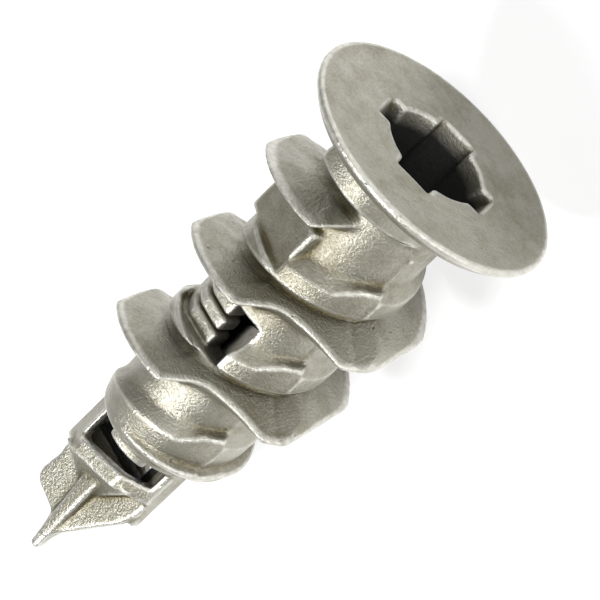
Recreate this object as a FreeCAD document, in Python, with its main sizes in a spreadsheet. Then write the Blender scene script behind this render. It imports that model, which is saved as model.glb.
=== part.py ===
import FreeCAD, Part
import math
import os

import Sketcher

# Self-drilling wall anchor for plasterboard: one zinc casting for a No. 8 screw.
# Origin: centre of the flange's seat on the wall.  +Y runs along the axis into the wall,
# +Z is the way the front die half pulls, and the parting plane is Z = 0.
# The casting is described region by region; neighbouring regions meet face to face.

SIZES = (
    # alias, value (millimetres or degrees), what it is
    ("flange_radius", 7.5, "head flange, outer radius"),
    ("flange_thick", 0.9, "head flange, thickness at the recess"),
    ("rim_thick", 0.35, "head flange, thickness at its rim"),
    ("rim_bevel", 0.6, "width of the bevel that thins the rim from the seat side"),
    ("hub_step", 0.45, "how far the boss in the flange stands out past the neck"),
    ("neck_radius", 3.65, "outer radius of the barrel behind the flange"),
    ("neck_end", 8.6, "where the neck passes into the windowed barrel"),
    ("taper_start", 13.5, "where the barrel begins to taper"),
    ("shoulder_length", 2.0, "from the shoulder to the barrel's end"),
    ("shoulder_radius", 3.4, "barrel radius at the shoulder station"),
    ("barrel_end", 21.9, "end of the barrel, at the tip slot"),
    ("barrel_end_radius", 3.2, "barrel radius at its end"),
    ("pilot_radius", 2.95, "round mouth of the driver recess"),
    ("pilot_depth", 4.1, "where the recess has narrowed to the screw bore"),
    ("screw_bore_radius", 2.1, "clearance bore for the screw, in the neck"),
    ("guide_bore_radius", 1.8, "narrower bore in the barrel, where the screw bites"),
    ("wing_span", 7.15, "cross recess, tip to tip at the face"),
    ("wing_foot_span", 4.2, "cross recess, tip to tip at its foot"),
    ("wing_width", 2.15, "width of a recess wing"),
    ("wing_depth", 3.6, "foot of the recess wings"),
    ("recess_turn", -26.0, "turn of the cross from the parting plane"),
    ("thread_pitch", 6.2, "lead of both threads"),
    ("deep_phase", 5.5, "deep thread, centre of the first crest on the +X side"),
    ("deep_start", 3.1, "where the deep thread rises from the neck"),
    ("deep_rise", 0.35, "length of that rise"),
    ("deep_crest_radius", 6.4, "deep thread, crest radius"),
    ("deep_late_at", 17.2, "where the crest starts to run down to the tip"),
    ("deep_late_radius", 6.35, "crest radius there"),
    ("deep_last_gap", 1.6, "from the last low crest station to the barrel's end"),
    ("deep_last_height", 1.2, "height of the crest over the barrel's end there"),
    ("deep_overrun", 0.7, "how far past the barrel's end the deep thread runs out"),
    ("crest_land", 0.4, "width of the deep thread's crest"),
    ("head_flank", 18.0, "slope of the deep thread's head side"),
    ("tip_flank", 10.0, "slope of the deep thread's tip side"),
    ("notch_wall", 1.3, "notch in each deep turn, its steep side at the crest, from YZ"),
    ("notch_foot_x", 2.15, "notch, its corner, from YZ"),
    ("notch_foot_z", 4.4, "notch, its corner, from the parting plane"),
    ("notch_end_x", 5.75, "notch, where its floor leaves the crest, from YZ"),
    ("notch_end_z", 2.6, "notch, the same place from the parting plane"),
    ("flat_distance", 5.7, "flat at the end of each deep half turn, from the axis"),
    ("flat_turn", 17.5, "flat, turn of its middle from the parting plane"),
    ("shallow_lag", 2.15, "from the shallow thread's middle to the next deep crest"),
    ("shallow_start", 3.1, "where the shallow thread begins"),
    ("shallow_height", 0.65, "height of the shallow thread"),
    ("shallow_land", 1.0, "width of the shallow thread's top"),
    ("shallow_slope", 0.9, "length of its slope towards the head"),
    ("shallow_step", 0.15, "length of its step towards the tip"),
    ("ramp_radius", 5.9, "starting ramp under the flange, outer radius"),
    ("ramp_sweep", 92.0, "angle that the ramp covers"),
    ("ramp_root", 0.1, "how deep the ramp is rooted in the flange"),
    ("ramp_turn", -165.0, "where the ramp leaves the flange, about the axis"),
    ("pad_gap", 1.1, "number pad, from the deep crest above it to its edge"),
    ("pad_length", 3.0, "number pad, along the axis"),
    ("pad_width", 3.3, "number pad, across the axis"),
    ("pad_raise", 0.3, "number pad, height of its middle above the neck"),
    ("pad_turn", 17.0, "number pad, turn towards +X"),
    ("window_gap", 1.2, "front window, from the deep crest above it to its edge"),
    ("window_length", 3.25, "front window, along the axis"),
    ("window_right", 1.65, "front window, reach on the -X side"),
    ("window_wall", 0.45, "front window, barrel wall left on the +X side"),
    ("window_floor", 0.9, "where a window's side walls begin"),
    ("rib_block_right", 0.2, "screw ribs, reach on the -X side"),
    ("rib_sink", 0.5, "screw ribs, depth of the first rib below the neck's outside"),
    ("rib_groove", 0.5, "depth of the grooves between the screw ribs"),
    ("rib_drop", 0.16, "how much lower each next rib is"),
    ("rib_wide", 0.65, "width of a screw rib's top"),
    ("tip_wall", 0.65, "wall of the tip straps and posts"),
    ("tip_half_width", 3.15, "tip straps, outer half width in the parting plane"),
    ("tip_corner_width", 1.55, "tip straps, half width of the front facet"),
    ("tip_height", 1.9, "tip straps, height of the front facet"),
    ("tip_side_height", 0.6, "tip posts, half height of the side facet"),
    ("post_half_height", 1.0, "tip posts, half height where a strap begins"),
    ("slot_length", 2.4, "tip slot, along the axis"),
    ("strap_width", 1.1, "tip straps, along the axis"),
    ("blade_thick", 0.7, "drill blade, thickness"),
    ("blade_length", 7.5, "drill blade, from the straps to the point"),
    ("cut_side_taper_at", 2.9, "straight cutting edge, middle station past the straps"),
    ("cut_side_half", 1.9, "its half width there"),
    ("cut_side_low_at", 5.65, "straight cutting edge, low station past the straps"),
    ("cut_side_low_half", 0.52, "its half width there"),
    ("lobe_half", 2.85, "rounded wing, half width"),
    ("lobe_round", 0.8, "rounded wing, corner radius"),
    ("lobe_end", 4.95, "rounded wing, end past the straps"),
    ("point_half", 0.64, "stem of the point, half width beside the rounded wing"),
    ("rib_width", 0.8, "blade rib, width"),
    ("rib_height", 1.3, "blade rib, height at the straps"),
    ("rib_low_height", 0.15, "blade rib, height over the blade near the point"),
    ("rib_short", 1.2, "how far the blade rib stops short of the point"),
    ("lug_inner", 1.15, "lug in the tip slot, inner radius"),
    ("lug_outer", 2.3, "lug in the tip slot, outer radius"),
    ("lug_length", 0.9, "lug in the tip slot, along the axis"),
    ("lug_sweep", 75.0, "lug in the tip slot, angle"),
    ("reach", 9.0, "half size of the cutting tools, past everything"),
)

doc = FreeCAD.newDocument("wall_anchor")
sheet = doc.addObject("Spreadsheet::Sheet", "sizes")


def fill_sheet():
    for row, (alias, value, meaning) in enumerate(SIZES, start=1):
        sheet.set("A%d" % row, alias)
        sheet.set("B%d" % row, str(value))
        sheet.set("C%d" % row, meaning)
        sheet.setAlias("B%d" % row, alias)
    doc.recompute()


def cells(expression):
    """The expression with each size's name pointed at its cell."""
    words = []
    word = ""
    names = {alias for alias, value, meaning in SIZES}
    for letter in expression + " ":
        if letter.isalnum() or letter == "_":
            word += letter
            continue
        words.append("sizes." + word if word in names else word)
        words.append(letter)
        word = ""
    return "".join(words).strip()


def bind(item, path, expression):
    item.setExpression(path, cells(expression))


def new_body(name):
    body = doc.addObject("PartDesign::Body", name)
    body.Label = name
    return body


def new_sketch(body, name, plane):
    sketch = body.newObject("Sketcher::SketchObject", name)
    planes = {feature.Role: feature for feature in body.Origin.OriginFeatures}
    sketch.AttachmentSupport = [(planes[plane], "")]
    sketch.MapMode = "FlatFace"
    return sketch


def hold_point(sketch, line, end, corner):
    """Holds one end of a line at a corner given as two expressions."""
    for kind, axis, value in (("DistanceX", -2, corner[0]), ("DistanceY", -1, corner[1])):
        if value == "0":
            sketch.addConstraint(Sketcher.Constraint("PointOnObject", line, end, axis))
            continue
        index = sketch.addConstraint(Sketcher.Constraint(kind, -1, 1, line, end, 1.0))
        bind(sketch, "Constraints[%d]" % index, value)


def outline(sketch, corners):
    """Closed outline of straight lines through the corners, in order."""
    count = len(corners)
    turn = 2 * math.pi / count
    start = [FreeCAD.Vector(math.cos(turn * i), math.sin(turn * i), 0) for i in range(count)]
    for i in range(count):
        sketch.addGeometry(Part.LineSegment(start[i], start[(i + 1) % count]), False)
    for i in range(count):
        sketch.addConstraint(Sketcher.Constraint("Coincident", i, 2, (i + 1) % count, 1))
    for i, corner in enumerate(corners):
        hold_point(sketch, i, 1, corner)
    doc.recompute()


def turned(body, kind, name, corners):
    """Adds or cuts a full turn of an outline about the anchor's axis."""
    sketch = new_sketch(body, name + "_section", "XY_Plane")
    outline(sketch, corners)
    feature = body.newObject("PartDesign::" + kind, name)
    feature.Profile = sketch
    feature.ReferenceAxis = (sketch, ["V_Axis"])
    feature.Angle = 360
    doc.recompute()
    return feature


def padded(body, name, plane, corners, length, middle=False, reverse=False):
    sketch = new_sketch(body, name + "_outline", plane)
    outline(sketch, corners)
    pad = body.newObject("PartDesign::Pad", name)
    pad.Profile = sketch
    bind(pad, "Length", length)
    pad.Midplane = middle
    pad.Reversed = reverse
    doc.recompute()
    return pad


def wound(body, name, corners, length):
    """Winds a section about the axis with the threads' lead, right-handed."""
    sketch = new_sketch(body, name + "_section", "XY_Plane")
    outline(sketch, corners)
    flight = body.newObject("PartDesign::AdditiveHelix", name)
    flight.Profile = sketch
    flight.ReferenceAxis = (sketch, ["V_Axis"])
    flight.Mode = 0
    bind(flight, "Pitch", "thread_pitch")
    bind(flight, "Height", length)
    flight.LeftHanded = False
    doc.recompute()
    return flight


def joined(kind, name, base, tool):
    result = doc.addObject("Part::" + kind, name)
    result.Base = base
    result.Tool = tool
    doc.recompute()
    return result


def turn_about_axis(item, angle):
    """Turns an object about the anchor's axis by an angle in degrees."""
    item.Placement = FreeCAD.Placement(
        FreeCAD.Vector(0, 0, 0), FreeCAD.Rotation(FreeCAD.Vector(0, 1, 0), 1))
    bind(item, "Placement.Rotation.Angle", "(%s) * 1 deg" % angle)
    doc.recompute()


# Places worked out from the sizes.
FACE = "-flange_thick"
HALF_LEAD = "thread_pitch / 2"
HUB_RADIUS = "neck_radius + hub_step"
DEEP_END = "barrel_end + deep_overrun"
STRAP_END = "barrel_end + slot_length + strap_width"
POINT = STRAP_END + " + blade_length"
# The deep thread's first and second crests on the +Z side place the pad and the window.
PAD_FROM = "deep_phase - thread_pitch / 4 + pad_gap"
FRONT_WINDOW = "deep_phase + thread_pitch * 3 / 4 + window_gap"
REAR_WINDOW = FRONT_WINDOW + " + " + HALF_LEAD
WINDOW_LEFT = "neck_radius - window_wall"

# Stations of the barrel's outside: radius and place along the axis.
BARREL_LINE = (
    ("neck_radius", "taper_start"),
    ("shoulder_radius", "barrel_end - shoulder_length"),
    ("barrel_end_radius", "barrel_end"),
)
CORE = (("0", "-reach"), ("neck_radius", "-reach")) + BARREL_LINE + (
    ("barrel_end_radius", POINT), ("0", POINT))


def make_recess():
    """Driver recess and screw bore: a round cone with four tapering wings."""
    body = new_body("recess_tool")
    turned(body, "Revolution", "pilot", (
        ("0", FACE), ("pilot_radius", FACE), ("screw_bore_radius", "pilot_depth"),
        ("screw_bore_radius", "neck_end"), ("0", "neck_end")))
    for name, plane in (("cross_wing", "XY_Plane"), ("long_wing", "YZ_Plane")):
        corners = (("wing_span / 2", FACE), ("wing_foot_span / 2", "wing_depth"),
                   ("-wing_foot_span / 2", "wing_depth"), ("-wing_span / 2", FACE))
        if plane == "YZ_Plane":
            corners = tuple((along, across) for across, along in corners)
        padded(body, name, plane, corners, "wing_width", middle=True)
    turn_about_axis(body, "recess_turn")
    return body


def make_flange(start_ramp):
    """Round head around the neck's boss, cut away where the ramp is rooted in it."""
    disc = new_body("flange_disc")
    turned(disc, "Revolution", "disc", (
        (HUB_RADIUS, FACE), ("flange_radius", FACE), ("flange_radius", "rim_thick - flange_thick"),
        ("flange_radius - rim_bevel", "0"), (HUB_RADIUS, "0")))
    return joined("Cut", "flange", disc, start_ramp)


def make_neck(recess):
    tube = new_body("neck_tube")
    turned(tube, "Revolution", "tube", (
        ("0", FACE), (HUB_RADIUS, FACE), (HUB_RADIUS, "0"), ("neck_radius", "0"),
        ("neck_radius", "neck_end"), ("0", "neck_end")))
    return joined("Cut", "neck", tube, recess)


def make_window(name, start):
    """The space that a side window takes out of the barrel wall."""
    body = new_body(name)
    end = start + " + window_length"
    padded(body, name + "_block", "XY_Plane", (
        ("-window_right", start), (WINDOW_LEFT, start),
        (WINDOW_LEFT, end), ("-window_right", end)), "reach")
    return body


def make_windows():
    """Front window, and the rear one half a lead further on and half a turn round."""
    front = make_window("front_window_tool", FRONT_WINDOW)
    rear = make_window("rear_window_tool", REAR_WINDOW)
    turn_about_axis(rear, "180")
    below = new_body("window_floor_tool")
    padded(below, "floor_block", "XY_Plane", (
        ("-reach", "neck_end"), ("reach", "neck_end"),
        ("reach", POINT), ("-reach", POINT)), "2 * window_floor", middle=True)
    both = joined("Fuse", "window_pair", front, rear)
    return joined("Cut", "window_space", both, below)


def make_barrel(windows):
    tube = new_body("barrel_tube")
    turned(tube, "Revolution", "tube_wall", (
        ("guide_bore_radius", "neck_end"), ("neck_radius", "neck_end")) + BARREL_LINE + (
        ("guide_bore_radius", "barrel_end"),))
    return joined("Cut", "barrel", tube, windows)


def make_thread_cuts():
    """What each deep half turn lacks: a notch on its face and a flat at its end."""
    cuts = []
    for name, angle in (("front_cut", 0), ("rear_cut", 180)):
        notch = new_body(name + "_notch")
        along_axis(notch, name + "_notch_block", (
            ("-notch_wall", "reach"), ("-notch_wall", "deep_crest_radius"),
            ("-notch_foot_x", "notch_foot_z"), ("-notch_end_x", "notch_end_z"),
            ("-reach", "notch_end_z + (reach - notch_end_x) * 0.4"), ("-reach", "reach")),
            "0", POINT)
        turn_about_axis(notch, str(angle))
        flat = new_body(name + "_flat")
        along_axis(flat, name + "_flat_block", (
            ("flat_distance", "reach"), ("flat_distance", "-reach"),
            ("2 * reach", "-reach"), ("2 * reach", "reach")), "0", POINT)
        turn_about_axis(flat, "%d - flat_turn" % angle)
        cuts.append(joined("Fuse", name, notch, flat))
    return joined("Fuse", "thread_cuts", cuts[0], cuts[1])


def make_deep_thread(cuts):
    body = new_body("deep_flight_body")
    half = "crest_land / 2"
    inner = "(neck_radius - tip_wall * 2)"
    outer = "(deep_crest_radius + crest_land)"
    wound(body, "deep_flight", (
        (inner, "deep_phase - thread_pitch - %s - (%s - %s) * tan(head_flank * 1 deg)"
         % (half, outer, inner)),
        (outer, "deep_phase - thread_pitch - %s" % half),
        (outer, "deep_phase - thread_pitch + %s" % half),
        (inner, "deep_phase - thread_pitch + %s + (%s - %s) * tan(tip_flank * 1 deg)"
         % (half, outer, inner))),
        DEEP_END + " + thread_pitch")
    turned(body, "Groove", "deep_root", CORE)
    turned(body, "Groove", "deep_crest", (
        ("neck_radius", "-reach"), ("neck_radius", "deep_start"),
        ("deep_crest_radius", "deep_start + deep_rise"), ("deep_late_radius", "deep_late_at"),
        ("barrel_end_radius + deep_last_height", "barrel_end - deep_last_gap"),
        ("barrel_end_radius", DEEP_END), ("barrel_end_radius", POINT + " + reach"),
        ("2 * reach", POINT + " + reach"), ("2 * reach", "-reach")))
    return joined("Cut", "deep_thread", body, cuts)


def make_shallow_thread():
    body = new_body("shallow_flight_body")
    inner = "neck_radius - tip_wall * 2"
    outer = "neck_radius + shallow_height + crest_land"
    first = "deep_phase - shallow_lag"
    wound(body, "shallow_flight", (
        (inner, first + " - shallow_land / 2 - shallow_slope"),
        (inner + " + tip_wall * 2 + shallow_height", first + " - shallow_land / 2"),
        (outer, first + " - shallow_land / 2"),
        (outer, first + " + shallow_land / 2"),
        (inner, first + " + shallow_land / 2 + shallow_step")),
        "barrel_end")
    turned(body, "Groove", "shallow_root", CORE)
    turned(body, "Groove", "shallow_top", (
        ("neck_radius", "-reach"), ("neck_radius", "shallow_start"),
        ("neck_radius + shallow_height", "shallow_start + shallow_height"),
        ("neck_radius + shallow_height", "taper_start"),
        ("barrel_end_radius + shallow_height", "barrel_end - shallow_height * 2"),
        ("barrel_end_radius", "barrel_end"), ("barrel_end_radius", POINT + " + reach"),
        ("2 * reach", POINT + " + reach"), ("2 * reach", "-reach")))
    return body


def make_start_ramp():
    """Ramp that lifts out of the flange's seat along the shallow thread's line."""
    body = new_body("start_ramp")
    wound(body, "ramp_flight", (
        ("neck_radius - tip_wall", "-thread_pitch / 2"), ("ramp_radius", "-thread_pitch / 2"),
        ("ramp_radius", "0"), ("neck_radius - tip_wall", "0")),
        "thread_pitch * ramp_sweep / 360")
    turned(body, "Groove", "ramp_inside", CORE)
    turned(body, "Groove", "ramp_foot", (
        ("0", "-reach"), ("2 * reach", "-reach"), ("2 * reach", "-ramp_root"),
        (HUB_RADIUS, "-ramp_root"), (HUB_RADIUS, "0"), ("0", "0")))
    turn_about_axis(body, "ramp_turn")
    return body


def make_number_pad(deep_thread):
    body = new_body("pad_block")
    padded(body, "pad_face", "XY_Plane", (
        ("-pad_width / 2", PAD_FROM), ("pad_width / 2", PAD_FROM),
        ("pad_width / 2", PAD_FROM + " + pad_length"), ("-pad_width / 2", PAD_FROM + " + pad_length")),
        "neck_radius + pad_raise")
    turned(body, "Groove", "pad_seat", CORE)
    turn_about_axis(body, "pad_turn")
    return joined("Cut", "number_pad", body, deep_thread)


def make_screw_ribs(name, start):
    """Block with three stepped ribs across the bore's edge, which the screw bites into."""
    body = new_body(name)
    corners = [(start, "window_floor")]
    for i in range(3):
        top = "neck_radius - rib_sink - %d * rib_drop" % i
        here = "%s + %d * window_length / 3" % (start, i)
        corners.append((here, top))
        corners.append((here + " + rib_wide", top))
        corners.append((here + " + rib_wide", top + " - rib_groove"))
        corners.append((here + " + window_length / 3", top + " - rib_groove"))
    corners.append((start + " + window_length", "window_floor"))
    pad = padded(body, name + "_steps", "YZ_Plane", corners, WINDOW_LEFT + " + rib_block_right")
    bind(pad.Profile[0], "AttachmentOffset.Base.z", "-rib_block_right * 1 mm")
    doc.recompute()
    turned(body, "Groove", name + "_bore", (
        ("0", "-reach"), ("guide_bore_radius", "-reach"),
        ("guide_bore_radius", POINT), ("0", POINT)))
    turned(body, "Groove", name + "_outside", (
        ("neck_radius", "-reach"),) + BARREL_LINE + (
        ("barrel_end_radius", POINT), ("2 * reach", POINT), ("2 * reach", "-reach")))
    return body


# Corners of the tip's eight-sided wall, seen along the axis: X and Z.
POST_X = "(tip_half_width - (tip_half_width - tip_corner_width)" \
    " * (post_half_height - tip_side_height) / (tip_height - tip_side_height))"
POST_INNER_X = "(%s - tip_wall)" % POST_X
POST_INNER_Z = "(post_half_height - tip_wall / 2)"
STRAP_INNER_X = "(tip_corner_width - tip_wall / 2)"
STRAP_INNER_Z = "(tip_height - tip_wall)"


def along_axis(body, name, corners, start, length):
    """Pad of an outline in X and Z, from a station on the axis towards the point."""
    pad = padded(body, name, "XZ_Plane", corners, length, reverse=True)
    bind(pad.Profile[0], "AttachmentOffset.Base.z", "-(%s) * 1 mm" % start)
    doc.recompute()
    return pad


def make_tip_post(name, angle):
    body = new_body(name)
    along_axis(body, name + "_wall", (
        (POST_INNER_X, POST_INNER_Z), (POST_X, "post_half_height"),
        ("tip_half_width", "tip_side_height"), ("tip_half_width", "-tip_side_height"),
        (POST_X, "-post_half_height"), (POST_INNER_X, "-" + POST_INNER_Z)),
        "barrel_end", "slot_length + strap_width")
    if angle:
        turn_about_axis(body, str(angle))
    return body


def make_tip_strap(name, angle):
    body = new_body(name)
    along_axis(body, name + "_band", (
        (POST_X, "post_half_height"), ("tip_corner_width", "tip_height"),
        ("-tip_corner_width", "tip_height"), ("-" + POST_X, "post_half_height"),
        ("-" + POST_INNER_X, POST_INNER_Z), ("-" + STRAP_INNER_X, STRAP_INNER_Z),
        (STRAP_INNER_X, STRAP_INNER_Z), (POST_INNER_X, POST_INNER_Z)),
        "barrel_end + slot_length", "strap_width")
    if angle:
        turn_about_axis(body, str(angle))
    return body


def make_drill_blade():
    """Flat spade in the parting plane: one straight edge and one rounded wing."""
    body = new_body("drill_blade")
    padded(body, "blade_web", "XY_Plane", (
        ("-" + POST_INNER_X, "barrel_end + slot_length"),
        (POST_INNER_X, "barrel_end + slot_length"),
        (POST_INNER_X, STRAP_END), ("tip_half_width", STRAP_END),
        ("lobe_half", STRAP_END + " + lobe_end - lobe_round * 2"),
        ("lobe_half", STRAP_END + " + lobe_end - lobe_round"),
        ("lobe_half - lobe_round * 0.3", STRAP_END + " + lobe_end - lobe_round * 0.3"),
        ("lobe_half - lobe_round", STRAP_END + " + lobe_end"),
        ("point_half", STRAP_END + " + lobe_end"),
        ("0", POINT),
        ("-cut_side_low_half", STRAP_END + " + cut_side_low_at"),
        ("-cut_side_half", STRAP_END + " + cut_side_taper_at"),
        ("-tip_half_width", STRAP_END), ("-" + POST_INNER_X, STRAP_END)),
        "blade_thick", middle=True)
    return body


def make_blade_rib(name, angle):
    """Bar that stiffens the blade, from the straps down to the point."""
    body = new_body(name)
    padded(body, name + "_bar", "YZ_Plane", (
        (STRAP_END, "blade_thick / 2"), (STRAP_END, "rib_height"),
        (POINT + " - rib_short - rib_low_height", "blade_thick / 2 + rib_low_height"),
        (POINT + " - rib_short", "blade_thick / 2")),
        "rib_width", middle=True)
    if angle:
        turn_about_axis(body, str(angle))
    return body


def make_tip_lug():
    """Curved lug that stands from the barrel's end into the tip slot."""
    body = new_body("tip_lug")
    sketch = new_sketch(body, "lug_section", "XY_Plane")
    outline(sketch, (("lug_inner", "barrel_end"), ("lug_outer", "barrel_end"),
                     ("lug_outer", "barrel_end + lug_length"),
                     ("lug_inner", "barrel_end + lug_length")))
    lug = body.newObject("PartDesign::Revolution", "lug_arc")
    lug.Profile = sketch
    lug.ReferenceAxis = (sketch, ["V_Axis"])
    bind(lug, "Angle", "lug_sweep * 1 deg")
    doc.recompute()
    turn_about_axis(body, "-90 - lug_sweep * 0.7")
    return body


def check_document():
    for item in doc.Objects:
        if "Invalid" in item.State or "Error" in item.State:
            raise RuntimeError("%s failed: %s" % (item.Label, item.State))


def write_parts(parts):
    os.makedirs("parts", exist_ok=True)
    for part in parts:
        shape = part.Shape
        if shape.isNull() or not shape.isValid() or not shape.Solids:
            raise RuntimeError("%s has no valid solid" % part.Label)
    for part in parts:
        shape = part.Shape
        shape.exportStep("parts/%s.step" % part.Label)
        print("%-18s %d solid(s) %8.2f mm3" % (part.Label, len(shape.Solids), shape.Volume))


def main():
    fill_sheet()
    recess = make_recess()
    windows = make_windows()
    deep_thread = make_deep_thread(make_thread_cuts())
    shallow_body = make_shallow_thread()
    number_pad = make_number_pad(deep_thread)
    rear_ribs = make_screw_ribs("rear_screw_ribs", REAR_WINDOW)
    turn_about_axis(rear_ribs, "180")
    start_ramp = make_start_ramp()
    parts = [
        make_flange(start_ramp),
        make_neck(recess),
        make_barrel(windows),
        deep_thread,
        joined("Cut", "shallow_thread", joined("Cut", "ridge", shallow_body, windows), number_pad),
        start_ramp,
        number_pad,
        make_screw_ribs("front_screw_ribs", FRONT_WINDOW),
        rear_ribs,
        make_tip_post("left_tip_post", 0),
        make_tip_post("right_tip_post", 180),
        make_tip_strap("front_tip_strap", 0),
        make_tip_strap("rear_tip_strap", 180),
        make_tip_lug(),
        make_drill_blade(),
        make_blade_rib("front_blade_rib", 0),
        make_blade_rib("rear_blade_rib", 180),
    ]
    doc.recompute()
    check_document()
    write_parts(parts)


main()
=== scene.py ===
import math

import bpy
import numpy as np
from mathutils import Matrix, Vector


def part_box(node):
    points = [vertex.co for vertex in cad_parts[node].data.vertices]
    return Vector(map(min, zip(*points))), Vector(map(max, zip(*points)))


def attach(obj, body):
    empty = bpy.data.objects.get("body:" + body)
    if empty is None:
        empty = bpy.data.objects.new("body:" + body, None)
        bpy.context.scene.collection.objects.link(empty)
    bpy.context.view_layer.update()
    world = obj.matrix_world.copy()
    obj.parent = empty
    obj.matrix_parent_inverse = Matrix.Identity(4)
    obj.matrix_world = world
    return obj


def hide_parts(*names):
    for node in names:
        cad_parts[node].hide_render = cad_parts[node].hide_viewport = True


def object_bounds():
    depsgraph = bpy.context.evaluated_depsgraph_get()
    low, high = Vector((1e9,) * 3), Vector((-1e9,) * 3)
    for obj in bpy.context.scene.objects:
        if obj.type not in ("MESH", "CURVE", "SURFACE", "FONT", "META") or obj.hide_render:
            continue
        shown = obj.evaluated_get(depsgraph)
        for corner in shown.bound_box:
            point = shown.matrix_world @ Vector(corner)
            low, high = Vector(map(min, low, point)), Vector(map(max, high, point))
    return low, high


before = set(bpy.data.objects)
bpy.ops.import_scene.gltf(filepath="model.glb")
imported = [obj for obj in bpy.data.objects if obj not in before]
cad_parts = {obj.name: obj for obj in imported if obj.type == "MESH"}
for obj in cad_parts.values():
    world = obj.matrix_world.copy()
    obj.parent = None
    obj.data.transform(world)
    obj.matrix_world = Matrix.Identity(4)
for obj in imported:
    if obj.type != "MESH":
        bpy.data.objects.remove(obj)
cad_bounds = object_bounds()

bl_info = {
    "name": "Cast Wall Anchor",
    "version": (1, 0, 0),
    "blender": (4, 5, 0),
    "location": "3D View > Sidebar > Wall Anchor",
    "description": "Sculpts the surfaces of a cast zinc wall anchor around its packed solids",
    "category": "Object",
}

MM = 0.001
FINISH = "tumbled_zinc"


def corner(node, side, axis):
    """One coordinate of a node's box in millimetres: side 0 is low, 1 is high."""
    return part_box(node)[side][axis] / MM


X, Y, Z = 0, 1, 2
NECK_RADIUS = corner("barrel", 1, X)
NECK_END = corner("neck", 1, Y)
FACE = corner("neck", 0, Y)
HUB_RADIUS = corner("neck", 1, X)
FLANGE_RADIUS = corner("flange", 1, X)
BARREL_END = corner("barrel", 1, Y)
WINDOW_START = corner("front_screw_ribs", 0, Y)
WINDOW_END = corner("front_screw_ribs", 1, Y)
REAR_SHIFT = corner("rear_screw_ribs", 0, Y) - WINDOW_START
WINDOW_LEFT = corner("front_screw_ribs", 1, X)
STRAP_START = corner("front_tip_strap", 0, Y)
STRAP_END = corner("front_tip_strap", 1, Y)
STRAP_HEIGHT = corner("front_tip_strap", 1, Z)
POST_HALF = corner("left_tip_post", 1, X)
POINT = corner("drill_blade", 1, Y)
BLADE_HALF = corner("drill_blade", 1, Z)
PAD_START = corner("number_pad", 0, Y)
PAD_END = corner("number_pad", 1, Y)

# Sizes below are in millimetres and angles in degrees.  A profile is a row of places along
# the axis, each with the value that holds there.

# Head
RIM_BEVEL = 0.6
BEVEL_SCALE = 0.7
FACE_DISH = 0.05
DISH_MIDDLE = 5.6
DISH_HALF = 1.4
SEAM_RADIUS = HUB_RADIUS + 0.35
RECESS_TURN = -26.0
WING_REACH = 3.575
WING_DRAFT = 0.33
WING_HALF = 1.075
WING_DEPTH = 3.6

# Barrel and bore
BARREL_TAPER = ((13.5, NECK_RADIUS), (BARREL_END - 2.0, 3.4), (BARREL_END, 3.2))
BORE = ((FACE, 2.95), (4.1, 2.1), (NECK_END, 2.1), (NECK_END + 0.3, 1.8),
        (BARREL_END + 1, 1.8))
BORE_STOP = STRAP_START - 0.3
COVER = 0.6

# Parting of the dies
PART_LEAN = 14.0
PART_RISE = 0.14

# Deep thread
CREST_SHARE = 0.1
RUN_IN = ((2.0, 0.0), (3.0, NECK_RADIUS))
CREST_RISE = ((3.3, 0.0), (4.2, 0.35), (6.2, 0.6), (7.7, 0.7), (8.5, 0.0), (12.4, 0.0),
              (13.0, 0.4), (13.8, 0.4), (14.5, 0.0), (17.2, -0.05))
RUN_OUT = ((19.5, 4.85), (20.0, 4.7), (20.2, 4.5), (20.8, 4.3), (21.3, 3.7), (21.6, 3.0))
DEEP_END = BARREL_END + 0.2
FLANK_SCALE = 0.97
CREST_SCALE = 0.95
CREASE_X = -0.45
CREASE_STEP = 0.12
CREASE_WIDTH = 0.3
CREASE_DEPTH = 2
NOTCH_TOP = (-1.3, 6.4)
NOTCH_FOOT = (-2.15, 4.4)
NOTCH_END = (-5.75, 2.6)
NOTCH_ROUND = 0.5
NOTCH_LEAN = 0.9
START_TOP = (-1.25, 6.4)
START_KNEE = (-1.75, 3.95)
START_FOOT = (-3.0, 2.5)
START_END = 4.6
FLAT_TURN = 17.5
FLAT_DISTANCE = ((4.0, 6.25), (17.0, 5.7))

# Shallow thread; it thickens over some degrees past each parting line
LOW_START = 2.0
LOW_SHARE = ((3.1, 0.0), (3.6, 1.0), (19.2, 1.0), (20.4, 0.65), (21.9, 0.2))
LOW_SWELL = (16.0, 33.0)
LOW_LEAST_SLOPE = 0.12
LOW_TIP_LEAN = 0.15
LAST_LAND = (18.4, 18.8)
LAST_EDGE = -0.3

# Ramp under the seat
RAMP_RADIUS = 5.9
RAMP_TURN = 165.0
RAMP_SHARE = 0.2
RAMP_SPAN = 92.0
RAMP_FOOT = 1.55
RAMP_LEAN = 0.29
RAMP_SCALE = 0.95
RAMP_WALL = ((-2.0, 5.5), (-3.4, 3.0))
RAMP_ROUND = 1.2
RAMP_END = -3.6
RAMP_SUNK = 0.3

# Pad on the neck
PAD_TURN = 17.0
PAD_HEIGHT = 3.88
PAD_FOOT = 1.0
PAD_LEFT = -1.7
PAD_RIGHT = 3.0
PAD_CUT_LEFT = -1.75
PAD_FILLET = 0.15

# Side windows: the way each faces along Z, its shift, and its right edge
WINDOWS = ((1, 0.0, -1.65), (-1, REAR_SHIFT, -1.2))
WINDOW_DEPTH = 0.9

# Ribs across a window
RIB_COUNT = 3
RIB_START = 0.35
RIB_PITCH = 1.0
RIB_WIDTH = 0.8
RIB_DROP = 0.05
RIB_LAP = 0.1
RIB_TOP = NECK_RADIUS - 0.3
RIB_SLOPE = 0.02
RIB_END = 0.1
RIB_END_STEP = 0.15
RIB_BLOCK_END = 0.4
RIB_BLOCK_DROP = 0.55
RIB_REACH = 0.2
RIB_DEPTH = 0.7
RIB_PROUD = 0.05

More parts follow.
